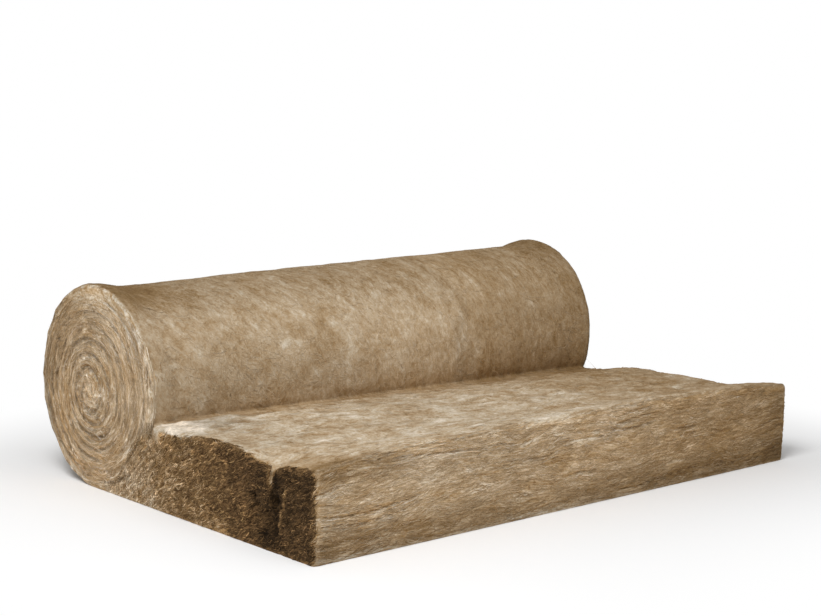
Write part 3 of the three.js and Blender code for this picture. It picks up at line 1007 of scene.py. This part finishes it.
def lay_fibres(name, heading, weight, count, lengths, widths, tips_off, spread, shades, browning, seed):
    """Scatters fibres over the blanket where weight is high, each along its heading or some
    degrees off it, with its tips lifted off the wool, and makes them one piece. The shades are how
    dark and how light they are against the wool below, and browning is how much of that is hue."""
    rng = np.random.default_rng(seed)
    weight = weight * np.exp(1.2 * lumps(wool.places, 0.025, seed))
    share = weight[triangles].mean(1) * triangle_area
    chosen = rng.choice(len(triangles), count, p=share / share.sum())
    mix = rng.dirichlet((1, 1, 1), count)
    centre = (wool.places[triangles[chosen]] * mix[:, :, None]).sum(1)
    tone = paint.tone[triangles[chosen, 0]]
    gain = paint.gain[triangles[chosen, 0]]
    centre, facing = snapped(centre)
    ahead = heading(centre, facing, rng)
    ahead = unit(ahead - (ahead * facing).sum(1)[:, None] * facing)
    swing = rng.normal(0, math.radians(spread), count)
    ahead = ahead * np.cos(swing)[:, None] + np.cross(facing, ahead) * np.sin(swing)[:, None]
    beside = np.cross(facing, ahead)
    length = rng.uniform(*lengths, count) * rng.uniform(0.6, 1, count)
    width = rng.uniform(*widths, count)
    bend = rng.normal(0, FIBRE_BEND, count) * length
    tip = rng.uniform(0, tips_off, (2, count))

    rows = []
    for at_tip, along in ((tip[0], -0.5), (None, -0.17), (None, 0.17), (tip[1], 0.5)):
        point = centre + ahead * (along * length)[:, None]
        if at_tip is not None:
            near, out = snapped(point)
            rows.append((near + out * at_tip[:, None])[:, None, :])
            continue
        near, out = snapped(point + beside * bend[:, None])
        side = unit(np.cross(out, ahead))
        ring = []
        for flank in range(FLANKS):
            turn = 2 * math.pi * flank / FLANKS
            swell = side * math.cos(turn) + out * (0.7 * math.sin(turn) + 0.25)
            ring.append(near + swell * (width / 2)[:, None])
        rows.append(np.stack(ring, 1))
    points = np.concatenate(rows, 1)
    points[:, :, 2] = np.maximum(points[:, :, 2], 0)
    faces = fibre_faces()[None] + FIBRE_POINTS * np.arange(count)[:, None, None]
    mesh = bpy.data.meshes.new(name)
    mesh.from_pydata(points.reshape(-1, 3).tolist(), [], faces.reshape(-1, 3).tolist())
    mesh.update()

    # Most fibres are nearer the dark shade, and on light wool they stand out less.
    shade = shades[0] * (shades[1] / shades[0]) ** rng.beta(1.6, 2.6, count)
    shade **= 1.25 - 0.55 * np.minimum(tone, 1)
    shade = np.minimum((1 + 0.18 * lumps(centre, 0.03, seed + 50)) * shade, 1.9 / tone)
    store(mesh, "tone", np.repeat(tone * shade**browning, FIBRE_POINTS))
    store(mesh, "gain", np.repeat(gain * shade ** (1 - browning), FIBRE_POINTS))
    fibre_cells(mesh, count)
    made = put_in_scene(name, mesh)
    select_only(made)
    bpy.ops.object.shade_smooth()
    mesh.materials.append(fibre_finish)
    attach(made, "root")


def along_rings(centre, facing, rng):
    """Round the core and slowly in towards it."""
    depth, _, angle = winding(centre)
    radius = np.maximum(OVAL_MEAN - depth, 0.01)
    round_core = unit(np.stack([0 * angle, -OVAL_Y * np.sin(angle), OVAL_Z * np.cos(angle)], 1))
    inward = np.stack([0 * angle, -np.cos(angle), -np.sin(angle)], 1)
    return round_core + inward * (TURN_PITCH / (2 * math.pi * radius))[:, None]


def up_the_nap(centre, facing, rng):
    """Forward and up, as the squeezed layers spread out in front of the roll."""
    rise = nap_rise(ROLL_MID_Y - centre[:, 1])
    return np.stack([0 * rise, -np.cos(rise), np.sin(rise)], 1)


near_side = eased(blurred(wool.side, wool.edges, 25), 0.1, 0.8)


def over_cut_ends(centre, facing, rng):
    """Along the rings on the roll, and up the nap on the tail, with a soft change between."""
    under = [tree_of_body.find_nearest(point)[2] for point in centre.tolist()]
    share = near_side[triangles[under, 0]]
    rings, nap = along_rings(centre, facing, rng), up_the_nap(centre, facing, rng)
    rings *= np.where((rings * nap).sum(1) < 0, -1, 1)[:, None]
    return rings * (1 - share)[:, None] + nap * share[:, None]


def along_layers(centre, facing, rng):
    """Across the blanket, a little up or down with the waves of its layers."""
    step = 0.004
    x, z = centre[:, 0], centre[:, 2]
    across = (waves(x + step, z) - waves(x - step, z)) / (2 * step)
    upright = 1 + (waves(x, z + step) - waves(x, z - step)) / (2 * step)
    return np.stack([np.ones(len(centre)), 0 * x, -across / np.maximum(upright, 0.5)], 1)


def over_skin(centre, facing, rng):
    """Aslant round the wound wall, and mostly across the blanket on the tail."""
    on_wall = centre[:, 1] > ROLL_MID_Y - OVAL_Y
    upwards = np.cross(facing, (1.0, 0, 0))
    aslant = np.where(on_wall, math.radians(-50), math.radians(-8)) + rng.normal(0, 0.5, len(centre))
    return np.array((1.0, 0, 0)) * np.cos(aslant)[:, None] + upwards * np.sin(aslant)[:, None]


above_floor = eased(wool.z, 0.004, 0.010)
nap_share = np.where(wool.left, 1 - 0.85 * tear_edge(wool.places), 0.3)

lay_fibres(
    "ring_fibres", over_cut_ends, wool.wound**4 * above_floor * (1 - 0.9 * shoulder(wool)),
    count=12000, lengths=(0.030, 0.110), widths=(0.0005, 0.0014), tips_off=0.0010,
    spread=6, shades=(0.70, 1.9), browning=0.9, seed=21,
)
lay_fibres(
    "nap_fibres", over_cut_ends, wool.side**2 * above_floor * nap_share,
    count=16600, lengths=(0.009, 0.022), widths=(0.0011, 0.0026), tips_off=0.0024,
    spread=14, shades=(0.25, 3.4), browning=0.4, seed=22,
)
lay_fibres(
    "layer_fibres", along_layers, wool.front**2 * above_floor,
    count=10000, lengths=(0.020, 0.070), widths=(0.0005, 0.0012), tips_off=0.0008,
    spread=7, shades=(0.55, 2.1), browning=0.8, seed=23,
)
lay_fibres(
    "skin_fibres", over_skin, wool.skin * above_floor,
    count=6000, lengths=(0.030, 0.090), widths=(0.0005, 0.0010), tips_off=0.0006,
    spread=10, shades=(0.95, 1.7), browning=0.8, seed=24,
)


# ---------------------------------------------------------------- the floor and the light
# A pale studio floor that keeps the blanket's shadow and runs out into white, under a wide soft
# light overhead and a nearer one to the left.
FLOOR_SIZE = 40
FLOOR_PALE = (0.92, 0.92, 0.92, 1)
SHADOW_REACH = (0.0, 0.5)
WHITE = (1, 1, 1, 1)
SKY_LEVEL = 0.33
SUBJECT = (0, 0, 0.1)

bpy.ops.object.select_all(action="DESELECT")
bpy.ops.mesh.primitive_plane_add(size=FLOOR_SIZE)
floor = bpy.context.active_object
floor.name = "floor"


def seen_directly(start):
    """1 for what the camera sees, itself or in a gloss or through glass, and 0 otherwise."""
    camera = start.node("LightPath", {}, {}, "Is Camera Ray")
    gloss = start.node("LightPath", {}, {}, "Is Glossy Ray")
    glass = start.node("LightPath", {}, {}, "Is Transmission Ray")
    return camera.maths("MAXIMUM", gloss).maths("MAXIMUM", glass)


def floor_material():
    """Pale paint beside the blanket, which runs out into pure white away from it."""
    made, start = new_tree("floor_paint")
    where = start.node("TexCoord", {}, {}, "Object")
    beyond = where.vector_maths("ABSOLUTE").vector_maths("SUBTRACT", box_of_cad[1])
    off = beyond.vector_maths("MAXIMUM", (0, 0, 0)).vector_maths("LENGTH", out="Value")
    paint_coat = start.node("BsdfDiffuse", {}, {"Color": FLOOR_PALE})
    glow = start.node("Emission", {}, {"Color": WHITE, "Strength": 1.0})
    far_off = off.eased(*SHADOW_REACH) * seen_directly(start)
    surface = start.node("MixShader", {}, {0: far_off, 1: paint_coat, 2: glow})
    start.node("OutputMaterial", {}, {"Surface": surface})
    return made


floor.data.materials.append(floor_material())

world = bpy.data.worlds.new("studio")
bpy.context.scene.world = world
world.use_nodes = True
world.node_tree.nodes.clear()
sky = Shade(world.node_tree)
sky_strength = seen_directly(sky) * (1 - SKY_LEVEL) + SKY_LEVEL
sky_light = sky.node("Background", {}, {"Color": WHITE, "Strength": sky_strength})
sky.node("OutputWorld", {}, {"Surface": sky_light})


def soft_box(name, spot, size, power):
    """A square soft light at a spot, turned to the blanket."""
    lamp = bpy.data.lights.new(name, "AREA")
    lamp.size = size
    lamp.energy = power
    held = put_in_scene(name, lamp)
    held.location = spot
    held.rotation_euler = (Vector(spot) - Vector(SUBJECT)).to_track_quat("Z", "Y").to_euler()


soft_box("left_top", (-2.0, -0.9, 2.8), size=1.4, power=81)
soft_box("over_front", (-0.4, -2.2, 2.6), size=2.0, power=16)

bpy.context.scene.view_settings.view_transform = "Standard"
